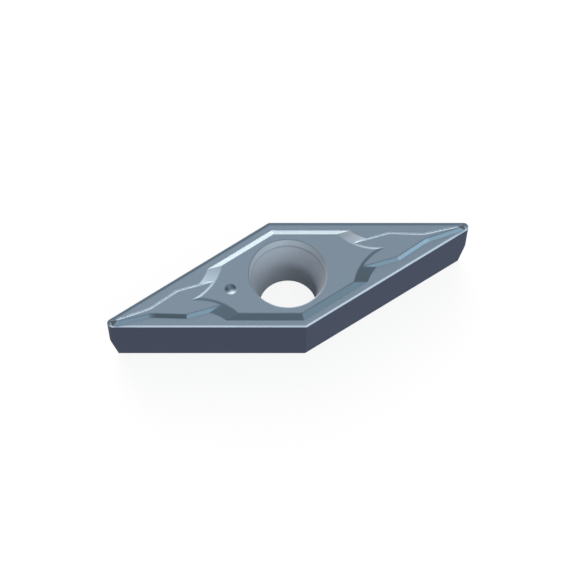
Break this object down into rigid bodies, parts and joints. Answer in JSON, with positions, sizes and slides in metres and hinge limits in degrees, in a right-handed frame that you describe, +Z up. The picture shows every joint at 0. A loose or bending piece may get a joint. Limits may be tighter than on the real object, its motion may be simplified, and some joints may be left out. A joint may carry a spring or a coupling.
{
  "type": "turning insert",
  "caption": "Slim rhombic cutting insert of cemented carbide with sharp rounded corners, leaning flanks, a pressed chip breaker and a countersunk clamping hole.",
  "frame": {"origin": "centre of the seat face, on the axis of the screw hole", "axes": "+Z up from the seat face along the screw hole, +X along the long diagonal, away from the dimple"},
  "size_m": [0.0298, 0.01, 0.005],
  "materials": {
    "coated_carbide": "satin blue-grey vapour coating over sintered carbide, with a fine matt grain"
  },
  "bodies": {
    "root": {"insert": "coated_carbide"}
  },
  "joints": []
}
